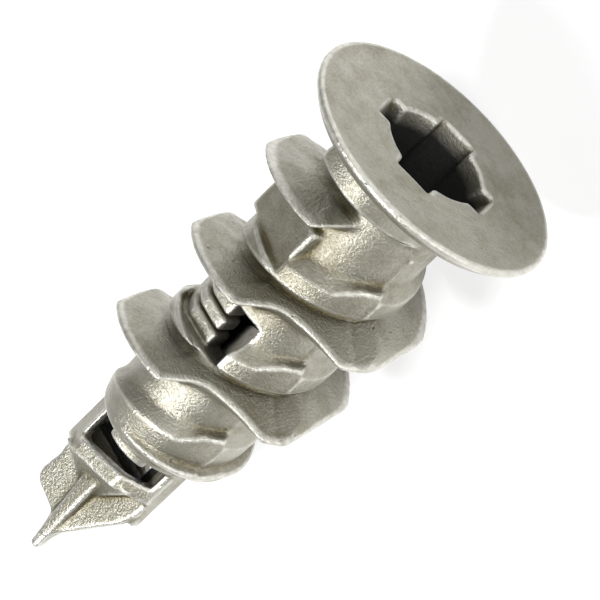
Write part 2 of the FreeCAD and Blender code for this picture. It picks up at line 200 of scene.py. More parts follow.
# Tip: posts and straps round a slot, gussets, and a lug
POST_FLAT = 0.6
STRAP_FLAT = 1.55
STRAP_SLANT = 0.32
TIP_START = BARREL_END - 1.0
TIP_WALL = 0.65
TIP_FLOOR = 0.5
SLOT_SIDES = (-2.7, 1.9)
SLOT_START = BARREL_END - 0.02
SLOT_DEPTH = 0.55
GUSSET_SIDES = (0.1 - POST_HALF, -1.6)
LUG_RADII = (1.3, 2.4)
LUG_SPAN = (BARREL_END - 0.5, 22.9)
LUG_TURN = -110.0
LUG_HALF = 0.6

# Blade, its outline drawn to the solid's length and then shortened
BLADE_STRETCH = 1.11
BLADE_RIGHT = ((STRAP_END, 3.1), (26.9, 2.66), (28.3, 1.9), (31.05, 0.52), (POINT, 0.0))
BLADE_LEFT = ((STRAP_END, 3.1), (27.9, 2.72), (29.4, 2.85), (30.0, 2.7), (30.25, 2.3),
              (30.35, 1.9), (30.45, 0.66), (POINT, 0.0))
EDGE_SCALE = 0.9
WEB_START = STRAP_START - 0.2
BAR_TOP = 0.35
BAR_TIP = POINT - 0.6
BAR_RISE = 0.125
BAR_HALF = 0.28
BAR_SPREAD = 0.045
BAR_START = STRAP_END - 0.3
NOSE_WIDE = (2.2, 0.9)
NOSE_HIGH = (1.5, 0.62)
NOSE_SCALE = 0.75
NOSE_START = -0.4

# Field: how far from the surface it is kept, and how it finds convex edges and hollow places,
# which carry the painted highlight and painted shade
FIELD_LIMIT = 0.5
CURVATURE_TIMES = 3
CONVEX_SCALE = 0.02
HOLLOW_SCALE = 0.03
SETTLE_LIMIT = 0.4
DIVE = 0.3

# Borders of the regions
REGION_GROW = 0.3
SEAT_LINE = 0.3
SKIN_DEPTH = 0.25
DEEP_AHEAD = 2.3
DEEP_BEHIND = 1.25
PAD_REGION = 3.1
PAD_LAP = 0.1
LOW_REGION = 2.8

# Painted shade: where the recess, the bore and the tip slot get their colour darkened towards
# near black
SHADE_RECESS = (FACE + 0.1, 0.9)
SHADE_RECESS_END = 4.5
SHADE_RECESS_RADIUS = 3.9
SHADE_FACING = (3, 0.6)
SHADE_BORE = (NECK_RADIUS - 1.35, 0.4)
SHADE_BORE_SPAN = (1.0, BARREL_END - 0.1)
SHADE_SLOT = (1.35, 0.3)
SHADE_SLOT_HALF = 2.2
SHADE_SLOT_SPAN = (BARREL_END - 0.2, STRAP_START + 0.3)

# Finish: each noise's scale per metre, detail and roughness, then how they add up
GRAIN = (6500.0, 3.0, 0.65)
SAND = (2600.0, 2.0, 0.5)
MOTTLE = (900.0, 4.0, 0.6)
CLOUDS = (180.0, 2.0, 0.5)
PIT_PATCHES = (420.0, 1.0, 0.5)
PIT_SCALE = 1400.0
PIT_EDGE = 0.16
PIT_CHOICE = (0.54, 0.60)
PIT_COLOUR = 0.6
MIDDLE = 0.5
MOTTLE_FROM, CLOUDS_FROM = 0.45, 0.42
# The hollow weight lays painted shade in creases and corners; the mottle, clouds and grain
# weights give random dull tone
HOLLOW_SHADE, FILM_MOTTLE, FILM_CLOUDS, FILM_GRAIN = 0.8, 1.1, 1.5, 0.9
# Lightened convex edges: partly tumbling wear, partly a painted highlight along the crests and
# rim
RUB_AND_HIGHLIGHT_FROM, RUB_AND_HIGHLIGHT_SAND = 0.52, 2.0
ROUGH, ROUGH_MOTTLE, ROUGH_GRAIN = 0.40, 0.25, 0.2
ROUGH_FILM, ROUGH_RUB, ROUGH_SHADE = 0.08, 0.08, 0.3
HIGH_GRAIN, HIGH_SAND, HIGH_MOTTLE, HIGH_CLOUDS, DEEP_PIT = 2.8, 0.5, 0.3, 0.3, 2.5
METAL = 0.92
BUMP_STRENGTH = 0.7
BUMP_DISTANCE = 0.00003

# Stage, in metres and watts: each lamp's direction, size and power
FLOOR_HALF = 3.0
FLOOR_WHITE = 0.7
ROOM_COLOUR = (0.97, 1.0, 0.98, 1)
ROOM_STRENGTH = 0.20
WHITE = (1, 1, 1, 1)
LAMP_DISTANCE = 0.3
LAMPS = (("key_softbox", (-0.15, 0.48, 0.87), 0.11, 1.35),
         ("front_softbox", (0.2, -0.85, 0.6), 0.25, 0.6),
         ("left_softbox", (0.8, 0.42, 0.42), 0.15, 0.10),
         ("right_softbox", (-0.8, -0.4, 0.4), 0.2, 0.7))
VIEW_BACK = (-0.3856, -0.476, 0.7907)
VIEW_ALONG = -0.7195
VIEW_ACROSS = 0.6945
VIEW_RIGHT_SHIFT = 6.82
VIEW_UP_SHIFT = 7.20
CAMERA_DISTANCE = 0.25
LENS = 300.0
SENSOR = 36.0
CLIP = (0.01, 20.0)


def length(name, description, default):
    return bpy.props.FloatProperty(name=name, description=description, default=default,
                                   min=0.0, unit="LENGTH", precision=5)


def slant(name, description, default):
    return bpy.props.FloatProperty(name=name, description=description,
                                   default=math.radians(default), unit="ROTATION")


def colour(name, description, default):
    return bpy.props.FloatVectorProperty(name=name, description=description, default=default,
                                         subtype="COLOR", size=3, min=0, max=1)


class CastingSizes(bpy.types.PropertyGroup):
    """How the casting's surface is laid out."""
    step: length("Grid step", "Spacing of the points that the surface is worked out on", 0.0001)
    edge_round: bpy.props.IntProperty(
        name="Edge rounding", description="How many times the cast edges are softened",
        default=2, min=0, max=8)
    root_fillet: length("Root fillet", "Fillet where the threads meet the barrel", 0.00025)
    overlap: length("Overlap", "How far neighbouring regions reach under each other", 0.0005)


class ThreadSizes(bpy.types.PropertyGroup):
    """The two threads that are wound round the barrel."""
    lead: length("Lead", "Advance of both threads in one turn", 2 * REAR_SHIFT * MM)
    phase: length("Phase", "Place of a deep crest's head edge on the +X side", 0.00532)
    land: length("Crest land", "Width of the deep crest", 0.00025)
    crest_radius: length("Crest radius", "Deep crest", 0.0064)
    head_flank: slant("Head flank", "Slope of the deep thread's head side", 20)
    tip_flank: slant("Tip flank", "Slope of the side that faces the point", 10)
    low_height: length("Low thread height", "Height of the shallow thread", 0.00065)
    low_edge: length("Low thread edge", "From its sharp edge to the next deep crest", 0.00142)
    low_land: length("Low thread land", "Width of the shallow thread's top", 0.00110)
    low_slope: length("Low thread slope", "Length of its slope towards the head", 0.00085)


class FinishColours(bpy.types.PropertyGroup):
    """Colours of the cast metal and of the stage."""
    zinc: colour("Zinc", "Bare cast zinc", (0.285, 0.275, 0.232))
    # Random dull tone, and also painted shade in the roots, creases and corners
    oxide_and_crease_shade: colour("Oxide", "Dull film in the roots and corners", (0.115, 0.100, 0.058))
    pit: colour("Pit", "Bottoms of the casting's pits", (0.07, 0.065, 0.05))
    # Painted shade: near-black colour laid on the walls deep in the recess, bore and tip slot
    painted_cavity_shade: colour("Cavity", "Unrubbed metal deep inside the recess and bore",
                   (0.020, 0.021, 0.019))
    # Convex edges lightened: partly tumbling wear, partly a painted highlight along the crests
    # and rim
    rubbed_and_highlight: colour("Rubbed", "Metal that tumbling has brightened on the edges",
                   (0.62, 0.61, 0.57))
    floor: colour("Floor", "Pale studio floor", (0.93, 0.93, 0.93))


def casting_sizes():
    return bpy.context.scene.anchor_casting


def thread_sizes():
    return bpy.context.scene.anchor_threads


def colours():
    return bpy.context.scene.anchor_colours


# ---------------------------------------------------------------- shader maths


class Wire:
    """A socket that can be used in an expression; every operation adds its Math node."""

    def __init__(self, graph, socket):
        self.graph = graph
        self.socket = socket

    def maths(self, operation, *values):
        return self.graph.add("ShaderNodeMath", {"operation": operation},
                              dict(enumerate((self,) + values)))

    def __add__(self, other):
        return self.maths("ADD", other)

    def __sub__(self, other):
        return self.maths("SUBTRACT", other)

    def __mul__(self, other):
        return self.maths("MULTIPLY", other)

    def __rsub__(self, other):
        return self.graph.add("ShaderNodeMath", {"operation": "SUBTRACT"}, {0: other, 1: self})

    __radd__ = __add__
    __rmul__ = __mul__

    def clamped(self):
        return self.graph.add("ShaderNodeClamp", {}, {"Value": self})


class Graph:
    """Node tree of one material or world."""

    def __init__(self, tree):
        self.tree = tree
        tree.nodes.clear()

    def add(self, kind, settings, inputs, output=0):
        """Adds a node, makes its settings, and gives its sockets values or links."""
        node = self.tree.nodes.new(kind)
        for name, value in settings.items():
            if name == "stops":
                self.set_stops(node.color_ramp, value)
            else:
                setattr(node, name, value)
        for name, value in inputs.items():
            socket = node.inputs[name]
            if isinstance(value, Wire):
                self.tree.links.new(value.socket, socket)
            else:
                socket.default_value = value
        return Wire(self, node.outputs[output]) if len(node.outputs) else node

    @staticmethod
    def set_stops(ramp, stops):
        for index, (place, level) in enumerate(stops):
            stop = ramp.elements[index] if index < 2 else ramp.elements.new(place)
            stop.position = place
            stop.color = (level, level, level, 1)

    def mix_colour(self, amount, first, second):
        node = self.tree.nodes.new("ShaderNodeMix")
        node.data_type = "RGBA"
        for socket, value in ((node.inputs[0], amount), (node.inputs[6], first),
                              (node.inputs[7], second)):
            if isinstance(value, Wire):
                self.tree.links.new(value.socket, socket)
            elif isinstance(value, (int, float)):
                socket.default_value = value
            else:
                socket.default_value = tuple(value)[:3] + (1,)
        return Wire(self, node.outputs[2])


def cast_zinc():
    """Cast zinc: fine grain, random dull tone with painted shade in the corners, lightened edges
    that are part tumbling wear and part painted highlight, painted shade deep in the recess,
    bore and slot, and a few pits.
    """
    material = bpy.data.materials.new(FINISH)
    material.use_nodes = True
    g = Graph(material.node_tree)
    place = g.add("ShaderNodeTexCoord", {}, {}, output="Object")
    edge = g.add("ShaderNodeAttribute", {"attribute_name": "edge"}, {}, output="Fac")
    hollow = g.add("ShaderNodeAttribute", {"attribute_name": "hollow"}, {}, output="Fac")

    shade = g.add("ShaderNodeAttribute", {"attribute_name": "shade"}, {}, output="Fac")

    def noise(scale, detail, rough):
        return g.add("ShaderNodeTexNoise", {}, {
            "Vector": place, "Scale": scale, "Detail": detail, "Roughness": rough}, output="Fac")

    def ramp(value, stops):
        return g.add("ShaderNodeValToRGB", {"stops": stops}, {"Fac": value}, output="Color")

    grain, sand, mottle, clouds = (noise(*kind) for kind in (GRAIN, SAND, MOTTLE, CLOUDS))
    cells = g.add("ShaderNodeTexVoronoi", {}, {"Vector": place, "Scale": PIT_SCALE},
                  output="Distance")
    pits = ramp(cells, ((0.0, 1.0), (PIT_EDGE, 0.0)))
    chosen = ramp(noise(*PIT_PATCHES), tuple(zip(PIT_CHOICE, (0.0, 1.0))))
    pitted = pits * chosen

    # Random dull tone from the noises, plus painted shade in creases and corners from the hollow
    # attribute
    film_and_shade = (hollow * HOLLOW_SHADE + (mottle - MOTTLE_FROM) * FILM_MOTTLE
            + (clouds - CLOUDS_FROM) * FILM_CLOUDS + (grain - MIDDLE) * FILM_GRAIN).clamped()
    # Convex edges lightened with sandy breaks: tumbling wear and painted edge highlight
    bright = ((edge - RUB_AND_HIGHLIGHT_FROM) * (sand * RUB_AND_HIGHLIGHT_SAND)).clamped()
    finish = colours()
    metal = g.mix_colour(film_and_shade, finish.zinc, finish.oxide_and_crease_shade)
    metal = g.mix_colour(bright, metal, finish.rubbed_and_highlight)
    metal = g.mix_colour(pitted * PIT_COLOUR, metal, finish.pit)
    # Painted shade: the recess, bore and tip slot darkened towards near black
    metal = g.mix_colour(shade, metal, finish.painted_cavity_shade)

    rough = (ROUGH + (mottle - MIDDLE) * ROUGH_MOTTLE + (grain - MIDDLE) * ROUGH_GRAIN
             + film_and_shade * ROUGH_FILM - bright * ROUGH_RUB + shade * ROUGH_SHADE)
    height = (grain * HIGH_GRAIN + sand * HIGH_SAND + mottle * HIGH_MOTTLE
              + clouds * HIGH_CLOUDS - pitted * DEEP_PIT)
    bump = g.add("ShaderNodeBump", {}, {
        "Strength": BUMP_STRENGTH, "Distance": BUMP_DISTANCE, "Height": height},
        output="Normal")
    shader = g.add("ShaderNodeBsdfPrincipled", {}, {
        "Base Color": metal, "Metallic": METAL, "Roughness": rough.clamped(), "Normal": bump})
    g.add("ShaderNodeOutputMaterial", {}, {"Surface": shader})
    return material


def zinc_material():
    return bpy.data.materials.get(FINISH) or cast_zinc()


# ---------------------------------------------------------------- the casting as a field


def soft_least(a, b, blend):
    """Least of two fields with a fillet where they meet."""
    share = np.clip(0.5 + 0.5 * (b - a) / blend, 0, 1)
    return b + (a - b) * share - blend * share * (1 - share)


def soft_most(a, b, blend):
    """Greatest of two fields with a round where they meet."""
    return -soft_least(-a, -b, blend)


def slab(value, low, high):
    return np.maximum(low - value, value - high)


def line_side(x, z, start, end):
    """Distance to a line in the XZ plane, positive on the metal's side of it."""
    run_x, run_z = end[0] - start[0], end[1] - start[1]
    return ((z - start[1]) * run_x - (x - start[0]) * run_z) / math.hypot(run_x, run_z)


def convex(across, up, corners):
    """Distance past the sides of a convex outline; corners run anticlockwise."""
    result = None
    for (x0, y0), (x1, y1) in zip(corners, corners[1:] + corners[:1]):
        run = math.hypot(x1 - x0, y1 - y0)
        side = ((across - x0) * (y1 - y0) - (up - y0) * (x1 - x0)) / run
        result = side if result is None else np.maximum(result, side)
    return result


def along_axis(y, profile):
    """A profile's value at each place along the axis."""
    places, values = zip(*profile)
    return np.interp(y, places, values).astype(np.float32)


class Casting:
    """Signed field of the whole anchor on an even grid; negative inside the metal."""

    def __init__(self, step):
        self.step = step
        reach = FLANGE_RADIUS + 3 * step
        half = np.arange(step / 2, reach, step, dtype=np.float32)
        across = np.concatenate((-half[::-1], half))
        along = np.arange(FACE - 4 * step, POINT + 4 * step, step, dtype=np.float32)
        self.axes = (across, along, across)
        self.x = across[:, None, None]
        self.y = along[None, :, None]
        self.z = across[None, None, :]
        self.radius = np.sqrt(self.x ** 2 + self.z ** 2)
        self.turn = np.arctan2(-self.z, self.x)
        self.barrel_radius = along_axis(self.y, BARREL_TAPER)
        # The dies part on a plane through the axis that leans a little from Z = 0.
        self.part = -math.tan(math.radians(PART_LEAN)) * across
        self.front = self.z > self.part[:, None, None]
        # The rear half repeats the front half, turned half round.
        self.half_x = np.where(self.front, self.x, -self.x)
        self.half_z = np.where(self.front, self.z, -self.z)
        self.swept = np.mod(np.degrees(self.turn) - 180.0 - PART_LEAN, 180.0)

    def past_crest(self):
        """How far each point lies past the deep crest's head edge, along the axis."""
        sizes = thread_sizes()
        lead = sizes.lead / MM
        past = self.y - self.turn * (lead / (2 * math.pi)) - sizes.phase / MM
        return past - lead * np.round(past / lead - CREST_SHARE)

    def barrel(self):
        tube = self.radius - self.barrel_radius
        return np.maximum(tube, slab(self.y, FACE, BARREL_END))

    def flange(self):
        """Round head: face with a shallow ring, thin rim, bevel behind it, flat seat."""
        bevel = ((self.radius - (FLANGE_RADIUS - RIM_BEVEL)) + self.y) * BEVEL_SCALE
        dish = np.clip(1 - ((self.radius - DISH_MIDDLE) / DISH_HALF) ** 2, 0, 1)
        face = FACE + FACE_DISH * dish
        disc = np.maximum(self.radius - FLANGE_RADIUS, slab(self.y, face, 0.0))
        return np.maximum(disc, bevel)

    def deep_thread(self):
        """Fin of the deep thread, with its notches and end flats."""
        sizes = thread_sizes()
        past = self.past_crest()
        crest = sizes.crest_radius / MM
        drop = crest - self.radius
        step = np.clip((self.half_x - CREASE_X) / CREASE_WIDTH, 0, 1)
        step = step * np.clip(drop, 0, CREASE_DEPTH)
        behind = past + drop * math.tan(sizes.head_flank) - step * CREASE_STEP / 2
        tip_side = past - sizes.land / MM - drop * math.tan(sizes.tip_flank)
        rises = tuple((place, crest + rise) for place, rise in CREST_RISE)
        top = along_axis(self.y, RUN_IN + rises + RUN_OUT)
        flight = np.maximum(np.maximum(tip_side, -behind) * FLANK_SCALE,
                            (self.radius - top) * CREST_SCALE)
        flight = np.maximum(flight, self.y - DEEP_END)
        return np.maximum(flight, -self.thread_cuts(np.maximum(behind, 0)))

    def thread_cuts(self, behind):
        """Notch and end flat that each half turn of the deep thread has; negative in them."""
        x, z = self.half_x, self.half_z
        wall = line_side(x, z, NOTCH_TOP, NOTCH_FOOT)
        floor = line_side(x, z, NOTCH_FOOT, NOTCH_END)
        first = np.maximum(line_side(x, z, START_TOP, START_KNEE),
                           line_side(x, z, START_KNEE, START_FOOT))
        notch = np.where(self.y < START_END, first, soft_most(wall, floor, NOTCH_ROUND))
        notch = (notch - NOTCH_LEAN * behind) / math.hypot(1, NOTCH_LEAN)
        turn = math.radians(FLAT_TURN)
        flat = along_axis(self.y, FLAT_DISTANCE) - (x * math.cos(turn) + z * math.sin(turn))
        return np.minimum(notch, flat)

    def shallow_thread(self):
        """Low thread, sharp towards the point and sloping towards the head."""
        sizes = thread_sizes()
        lead = sizes.lead / MM
        before = -(self.y - self.turn * (lead / (2 * math.pi)) - sizes.phase / MM)
        before = before - lead * np.floor(before / lead)
        height = sizes.low_height / MM
        edge = sizes.low_edge / MM
        land = sizes.low_land / MM
        slope = sizes.low_slope / MM
        rise = np.interp(self.swept, LOW_SWELL, (0.0, 1.0))
        land = land + slope * (1 - rise)
        slope = slope * np.maximum(rise, LOW_LEAST_SLOPE)
        top = self.barrel_radius + height * along_axis(self.y, LOW_SHARE)
        drop = top - self.radius
        tip_side = np.interp(self.y, LAST_LAND, (edge, LAST_EDGE)) - before
        tip_side = tip_side - drop * LOW_TIP_LEAN
        head_side = before - edge - land - drop * slope / height
        head_side = head_side / np.sqrt(1 + (slope / height) ** 2)
        flight = np.maximum(np.maximum(tip_side, head_side), -drop)
        return np.maximum(flight, slab(self.y, LOW_START, BARREL_END))

    def start_ramp(self):
        """Block under the seat, from its square end to the wall where the thread starts."""
        past = np.degrees(self.turn) + RAMP_TURN
        past = past - 360.0 * np.round(past / 360.0 - RAMP_SHARE)
        lower = (self.y - RAMP_FOOT - (RAMP_RADIUS - self.radius) * RAMP_LEAN) * RAMP_SCALE
        end = np.radians(past - RAMP_SPAN) * self.radius
        outer = soft_most(self.radius - RAMP_RADIUS,
                          -line_side(self.x, self.z, *RAMP_WALL), RAMP_ROUND)
        block = np.maximum(np.maximum(np.maximum(lower, end), outer), -self.z)
        return np.maximum(np.maximum(block, RAMP_END - self.x), -self.y - RAMP_SUNK)

    def pull(self, field):
        """Fills what two dies pulled along Z could not leave hollow."""
        middle = np.searchsorted(self.axes[2], self.part)
        for column, split in zip(field, middle):
            front = column[:, split:]
            rear = column[:, :split]
            front[:] = np.minimum.accumulate(front[:, ::-1], axis=1)[:, ::-1]
            rear[:] = np.minimum.accumulate(rear, axis=1)
        return field

    def pad_frame(self):
        """Height over the axis and place across it, both turned with the pad."""
        angle = math.radians(PAD_TURN)
        high = self.x * math.sin(angle) + self.z * math.cos(angle)
        wide = self.x * math.cos(angle) - self.z * math.sin(angle)
        return high, wide

    def number_pad(self):
        """Block of the pad, and the space above its flat that nothing stands in."""
        high, wide = self.pad_frame()
        along = slab(self.y, PAD_START, PAD_END)
        pad = np.maximum(np.maximum(slab(wide, PAD_LEFT, PAD_RIGHT), along),
                         slab(high, PAD_FOOT, PAD_HEIGHT))
        above = np.maximum(np.maximum(slab(wide, PAD_CUT_LEFT, PAD_RIGHT), along),
                           PAD_HEIGHT - high)
        return pad, above

    def window(self, side, shift, right):
        """Side window: a straight pull along Z from the bore outwards."""
        x = self.x * side
        z = self.z * side
        sides = np.maximum(slab(x, right, WINDOW_LEFT),
                           slab(self.y, WINDOW_START + shift, WINDOW_END + shift))
        return np.maximum(sides, WINDOW_DEPTH - z)

    def screw_ribs(self, side, shift):
        """Stepped ribs that stand across the left part of a window."""
        x = self.x * side
        z = self.z * side
        low, far = WINDOW_START + shift, WINDOW_END + shift
        start = low + RIB_START
        slope = z + RIB_SLOPE * (self.y - start)
        block = np.maximum(slab(self.y, low - RIB_LAP, far), RIB_BLOCK_END - x)
        block = np.maximum(block, slope - (RIB_TOP - RIB_BLOCK_DROP)
                           + RIB_DROP * (self.y - start) / RIB_PITCH)
        for index in range(RIB_COUNT):
            first = start + RIB_PITCH * index
            before = RIB_LAP + RIB_START if index == 0 else 0.0
            rib = np.maximum(slab(self.y, first - before, first + RIB_WIDTH),
                             slope - (RIB_TOP - RIB_DROP * index))
            rib = np.maximum(rib, RIB_END - RIB_END_STEP * index - x)
            block = np.minimum(block, rib)
        block = np.maximum(block, np.maximum(x - WINDOW_LEFT - RIB_REACH, RIB_DEPTH - z))
        return np.maximum(block, self.radius - self.barrel_radius - RIB_PROUD)

    def bore(self):
        """Round bore from the recess to the tip slot."""
        return np.maximum(self.radius - along_axis(self.y, BORE), self.y - BORE_STOP)

    def recess_wings(self):
        """Cross recess, narrowing as it goes in."""
        angle = math.radians(RECESS_TURN)
        first = self.x * math.cos(angle) - self.z * math.sin(angle)
        second = self.x * math.sin(angle) + self.z * math.cos(angle)
        reach = WING_REACH - (self.y - FACE) * WING_DRAFT
        wings = np.minimum(
            np.maximum(np.abs(first) - reach, np.abs(second) - WING_HALF),
            np.maximum(np.abs(second) - reach, np.abs(first) - WING_HALF))
        return np.maximum(wings, self.y - WING_DEPTH)

    def tip(self):
        """Posts, straps, blade and ribs beyond the barrel's end."""
        outer = [(POST_HALF, -POST_FLAT), (POST_HALF, POST_FLAT), (STRAP_FLAT, STRAP_HEIGHT),
                 (-STRAP_FLAT, STRAP_HEIGHT), (-POST_HALF, POST_FLAT), (-POST_HALF, -POST_FLAT),
                 (-STRAP_FLAT, -STRAP_HEIGHT), (STRAP_FLAT, -STRAP_HEIGHT)]
        x = np.broadcast_to(self.x, self.radius.shape)
        z = np.broadcast_to(self.z, self.radius.shape)
        wall = convex(x, z, outer)
        slant = self.slanted()
        shell = np.maximum(wall, np.maximum(TIP_START - self.y, slant - STRAP_END))
        hollow = np.maximum(wall + TIP_WALL, slant - (STRAP_END + TIP_FLOOR))
        shell = np.maximum(shell, -hollow)
        slot = np.maximum(slab(x * np.sign(z), *SLOT_SIDES),
                          np.maximum(SLOT_START - self.y, slant - STRAP_START))
        slot = np.maximum(slot, SLOT_DEPTH - np.abs(z))
        shell = np.maximum(shell, -slot)
        gusset = np.maximum(slab(x, *GUSSET_SIDES), np.abs(z) - BLADE_HALF)
        gusset = np.maximum(gusset, slab(self.y, TIP_START, STRAP_END))
        shell = np.minimum(shell, gusset)
        return np.minimum(shell, self.blade())

    def slanted(self):
        """Place along the axis, as the straps see it: each one leans to its own side."""
        return self.y - STRAP_SLANT * self.x * np.where(self.z > 0, 1, -1)

    def blade(self):
        """Flat spade with a bar on each face and a nose that joins it to the straps."""
        y = STRAP_END + (self.y - STRAP_END) * BLADE_STRETCH
        across, up = np.abs(self.x), np.abs(self.z)
        outline = np.maximum(self.x - along_axis(y, BLADE_LEFT),
                             -self.x - along_axis(y, BLADE_RIGHT))
        web = np.maximum(np.maximum(outline * EDGE_SCALE, up - BLADE_HALF), WEB_START - y)
        bar = np.maximum(across - BAR_HALF - (POINT - y) * BAR_SPREAD,
                         up - BAR_TOP - (BAR_TIP - y) * BAR_RISE)
        bar = np.maximum(bar, slab(y, BAR_START, POINT))
        past = self.slanted() - STRAP_END
        nose = np.maximum(across + past * NOSE_WIDE[1] - NOSE_WIDE[0],
                          up + past * NOSE_HIGH[1] - NOSE_HIGH[0]) * NOSE_SCALE
        nose = np.maximum(nose, NOSE_START - past)
        return np.minimum(np.minimum(web, bar), nose)

    def lug(self):
        """Curved lug that stands in the tip slot."""
        arc = np.maximum(slab(self.radius, *LUG_RADII), slab(self.y, *LUG_SPAN))
        away = self.turn - math.radians(LUG_TURN) + math.pi
        gap = np.abs(np.mod(away, 2 * math.pi) - math.pi)
        return np.maximum(arc, (gap - LUG_HALF) * self.radius)

    def build(self):
        """Joins the pieces of the casting in order and softens the result."""
        fillet = casting_sizes().root_fillet / MM
        wall = soft_least(self.barrel(), self.shallow_thread(), fillet * 0.6)
        wall = self.pull(wall)
        for side, shift, right in WINDOWS:
            wall = np.maximum(wall, -self.window(side, shift, right))
        for side, shift, _ in WINDOWS:
            wall = np.minimum(wall, self.screw_ribs(side, shift))
        pad, above = self.number_pad()
        wall = np.maximum(soft_least(wall, pad, PAD_FILLET), -above)
        fin = self.deep_thread()
        from_part = np.abs(self.z - self.part[:, None, None]) * math.cos(math.radians(PART_LEAN))
        deep = np.maximum(self.pull(fin.copy()), fin - PART_RISE * from_part)
        deep = np.minimum(deep, self.start_ramp())
        deep = np.maximum(deep, (self.barrel_radius - COVER) - self.radius)
        solid = soft_least(wall, deep, fillet)
        solid = soft_least(solid, self.flange(), fillet)
        solid = np.maximum(solid, -np.minimum(self.bore(), self.recess_wings()))
        solid = np.minimum(solid, self.tip())
        solid = np.minimum(solid, self.lug())
        sharp = np.clip(solid, -FIELD_LIMIT, FIELD_LIMIT)
        self.solid = self.softened(sharp, casting_sizes().edge_round)
        # Convex edges come out positive and hollows negative; they set the lightened edges with
        # painted highlight and the painted shade in creases
        self.curvature = self.softened(self.solid, CURVATURE_TIMES) - self.solid

    @staticmethod
    def softened(field, times):
        """Rounds the edges by averaging neighbours along each axis in turn."""
        field = field.copy()
        for axis in list(range(3)) * times:
            line = np.moveaxis(field, axis, 0)
            line[1:-1] = line[1:-1] * 0.5 + line[:-2] * 0.25 + line[2:] * 0.25
        return field


_casting = {}


def casting():
    """The field of the whole anchor, worked out once."""
    if "whole" not in _casting:
        whole = Casting(casting_sizes().step / MM)
        whole.build()
        _casting["whole"] = whole
    return _casting["whole"]


# ---------------------------------------------------------------- skin of a field

CUBE_EDGES = [(a, b) for a in range(8) for b in range(a + 1, 8) if bin(a ^ b).count("1") == 1]


def offset_of(index):
    return np.array([index & 1, index >> 1 & 1, index >> 2 & 1])


def skin(field, axes):
    """Points and four-sided faces of the field's zero surface, one point to a crossed cell."""
    inside = field < 0
    count = np.zeros(tuple(n - 1 for n in field.shape), dtype=np.int8)
    for index in range(8):
        i, j, k = offset_of(index)
        count += inside[i:field.shape[0] - 1 + i, j:field.shape[1] - 1 + j,
                        k:field.shape[2] - 1 + k]
    cells = np.argwhere((count > 0) & (count < 8))
    number = np.full(count.shape, -1, dtype=np.int32)
    number[tuple(cells.T)] = np.arange(len(cells))
    values = [field[tuple((cells + offset_of(index)).T)] for index in range(8)]
    total = np.zeros((len(cells), 3))
    crossings = np.zeros(len(cells))
    for a, b in CUBE_EDGES:
        crossed = (values[a] < 0) != (values[b] < 0)
        share = np.where(crossed, values[a] / np.where(crossed, values[a] - values[b], 1), 0)
        spot = offset_of(a) + share[:, None] * (offset_of(b) - offset_of(a))
        total += np.where(crossed[:, None], spot, 0)
        crossings += crossed
    spots = cells + total / crossings[:, None]
    faces = []
    for axis in range(3):
        first = [slice(None)] * 3
        second = [slice(None)] * 3
        first[axis], second[axis] = slice(0, -1), slice(1, None)
        changes = np.argwhere(inside[tuple(first)] != inside[tuple(second)])
        u, v = (axis + 1) % 3, (axis + 2) % 3
        keep = ((changes[:, u] > 0) & (changes[:, v] > 0)
                & (changes[:, u] < number.shape[u]) & (changes[:, v] < number.shape[v]))
        changes = changes[keep]
        ring = []
        for du, dv in ((1, 1), (0, 1), (0, 0), (1, 0)):
            cell = changes.copy()
            cell[:, u] -= du
            cell[:, v] -= dv
            ring.append(number[tuple(cell.T)])
        ring = np.stack(ring, axis=1)
        outward = inside[tuple(changes.T)]
        ring[~outward] = ring[~outward][:, ::-1]
        faces.append(ring)
    return spots, np.concatenate(faces)


def sampled(field, spots):
    """Field at fractional grid places."""
    base = np.clip(np.floor(spots).astype(int), 0, np.array(field.shape) - 2)
    part = spots - base
    result = np.zeros(len(spots))
    for index in range(8):
        i, j, k = offset_of(index)
        weight = np.ones(len(spots))
        for axis, chosen in enumerate((i, j, k)):
            weight = weight * (part[:, axis] if chosen else 1 - part[:, axis])
        result += weight * field[base[:, 0] + i, base[:, 1] + j, base[:, 2] + k]
    return result


def slope_at(field, spots):
    """Steepest rise of the field at fractional grid places."""
    return np.stack([
        sampled(field, spots + 0.5 * np.eye(3)[axis])
        - sampled(field, spots - 0.5 * np.eye(3)[axis]) for axis in range(3)], axis=1)


def settled(field, spots, times=2):
    """Moves points onto the zero surface along the field's slope."""
    for _ in range(times):
        slope = slope_at(field, spots)
        size = np.maximum((slope ** 2).sum(axis=1), 1e-6)
        move = -slope * (sampled(field, spots) / size)[:, None]
        spots = spots + np.clip(move, -SETTLE_LIMIT, SETTLE_LIMIT)
    return spots


def ramped(value, run):
    """Rises from 0 to 1 over a run."""
    return np.clip(value / run, 0, 1)


def between(value, span):
    return (value > span[0]) & (value < span[1])


def painted_shade_depth(points, slope):
    """Painted shade mask: how deep each point lies in the recess, the bore, a window or the tip
    slot, 0 to 1; the colour is darkened by it.
    """
    x, y, z = points.T
    radius = np.maximum(np.hypot(x, z), 1e-3)
    size = np.maximum(np.linalg.norm(slope, axis=1), 1e-6)
    inward = -(slope[:, X] * x + slope[:, Z] * z) / radius / size
    recess = ramped(y - SHADE_RECESS[0], SHADE_RECESS[1])
    recess = recess * np.clip(inward * SHADE_FACING[0] + SHADE_FACING[1], 0, 1)
    recess = recess * (y < SHADE_RECESS_END) * (radius < SHADE_RECESS_RADIUS)
    bore = ramped(SHADE_BORE[0] - radius, SHADE_BORE[1]) * between(y, SHADE_BORE_SPAN)
    slot = ramped(SHADE_SLOT[0] - np.abs(z), SHADE_SLOT[1]) * (np.abs(x) < SHADE_SLOT_HALF)
    slot = slot * between(y, SHADE_SLOT_SPAN)
    return np.maximum(np.maximum(recess, bore), slot)


